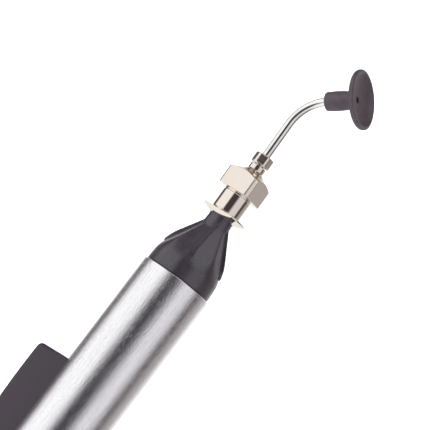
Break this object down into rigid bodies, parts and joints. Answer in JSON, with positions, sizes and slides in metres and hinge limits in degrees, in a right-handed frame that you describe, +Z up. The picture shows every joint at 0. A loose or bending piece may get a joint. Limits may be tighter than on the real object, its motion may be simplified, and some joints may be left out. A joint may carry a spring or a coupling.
{
  "type": "vacuum pick-up pen",
  "caption": "Hand vacuum pen: satin aluminium barrel with a side press lever, ribbed black nose, Luer hub, bent steel tube and round rubber suction cup.",
  "frame": {"origin": "centre of the flat end face of the rear cap, on the barrel axis", "axes": "+X along the barrel axis towards the tip, +Z up from the table that the pen lies on, lever on the +Y side rolled down to the table"},
  "size_m": [0.1389, 0.0214, 0.0158],
  "materials": {
    "satin_aluminium": "satin, bead blasted",
    "black_moulded_plastic": "semi-matt moulded",
    "black_lever_plastic": "fine satin",
    "nickel_plated_brass": "bright nickel plate over brass",
    "steel": "bright drawn",
    "spring_steel": "bright",
    "black_rubber": "matt moulded",
    "seal_rubber": "matt",
    "red_rubber": "matt",
    "silicone": "satin",
    "grey_plastic": "satin moulded",
    "white_plastic": "satin moulded"
  },
  "bodies": {
    "barrel": {"barrel_tube": "satin_aluminium", "nose_cone": "black_moulded_plastic", "nose_o_ring": "seal_rubber", "bulb_cradle": "grey_plastic", "lever_pin": "steel", "return_spring": "spring_steel", "squeeze_bulb": "red_rubber", "bulb_end_plug": "white_plastic", "bulb_front_fitting": "white_plastic", "bulb_clip_rear": "spring_steel", "bulb_clip_front": "spring_steel", "air_tube": "silicone", "tube_clip_rear": "spring_steel", "tube_clip_front": "spring_steel"},
    "lever": {"press_lever": "black_lever_plastic"},
    "head": {"luer_hub": "nickel_plated_brass", "tube_ferrule": "nickel_plated_brass", "suction_tube": "steel"},
    "cup": {"suction_cup": "black_rubber"},
    "rear_cap": {"rear_cap": "black_moulded_plastic", "rear_cap_o_ring": "seal_rubber"}
  },
  "joints": [
    {"name": "lever_press", "type": "hinge", "parent": "barrel", "child": "lever", "pos_m": [0.0365, 0.00217, -0.00077], "axis": [0, -0.3334, -0.9428], "range_deg": [0, 4.5], "stiffness_Nm_per_rad": 0.46, "springref_deg": -6.02, "deforming": ["return_spring", "squeeze_bulb"]},
    {"name": "head_turn", "type": "hinge", "parent": "barrel", "child": "head", "pos_m": [0.108, 0.00028, 0], "axis": [0.9996, 0.0279, 0], "continuous": true},
    {"name": "cup_pull", "type": "slide", "parent": "head", "child": "cup", "axis": [0.5199, -0.7037, 0.4843], "range_m": [0, 0.004]},
    {"name": "rear_cap_pull", "type": "slide", "parent": "barrel", "child": "rear_cap", "axis": [-1, 0, 0], "range_m": [0, 0.009]}
  ]
}
